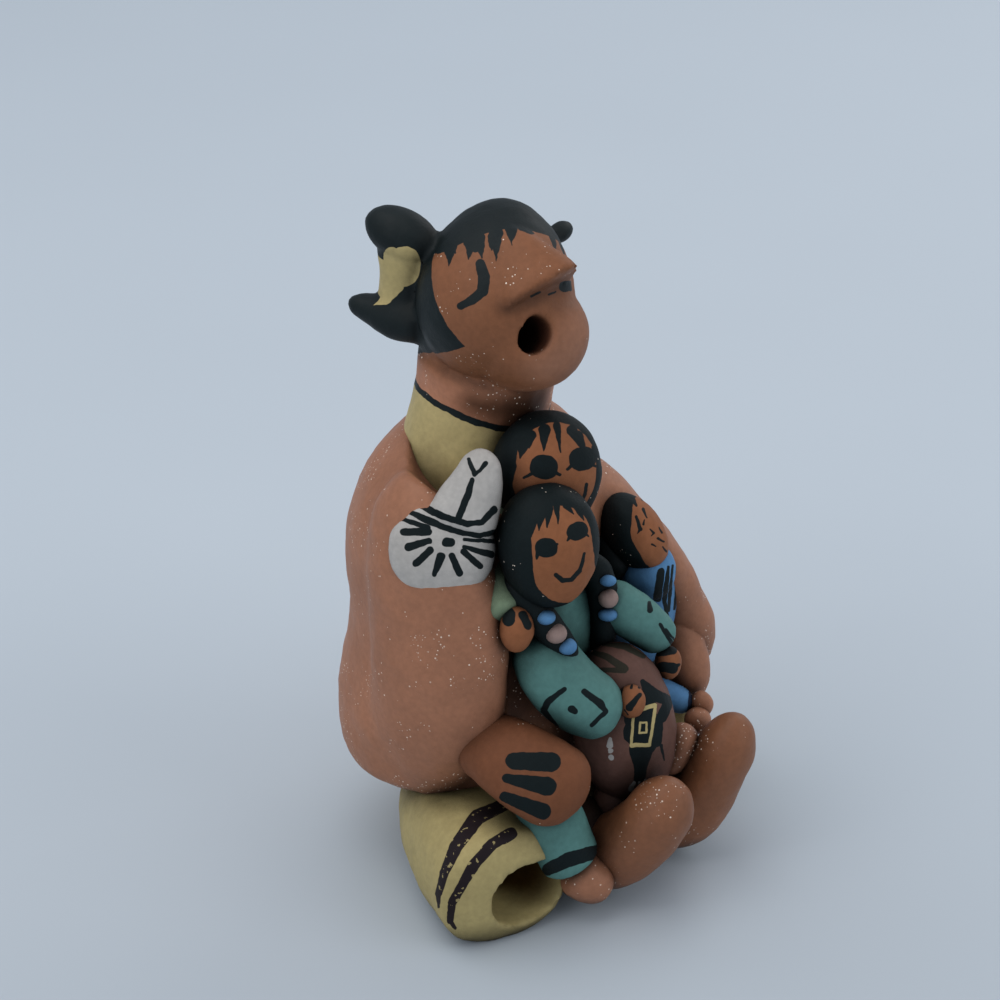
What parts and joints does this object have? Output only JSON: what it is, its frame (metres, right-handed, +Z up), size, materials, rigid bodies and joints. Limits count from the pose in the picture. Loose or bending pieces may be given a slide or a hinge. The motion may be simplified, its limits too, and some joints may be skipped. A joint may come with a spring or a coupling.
{
  "type": "pueblo storyteller figure",
  "caption": "Small painted clay storyteller: a seated singer in a blanket, head back and mouth open, with children and a small painted pot on the lap",
  "frame": {"origin": "middle of the underside of the bounding box, on the surface it stands on", "axes": "+Z up, the figure's body faces -Y, its left side is +X; the head is turned towards -X"},
  "size_m": [0.0836, 0.0794, 0.127],
  "materials": {
    "painted_clay": "matte painted terracotta"
  },
  "bodies": {
    "root": {"storyteller_figure": "painted_clay"}
  },
  "joints": []
}
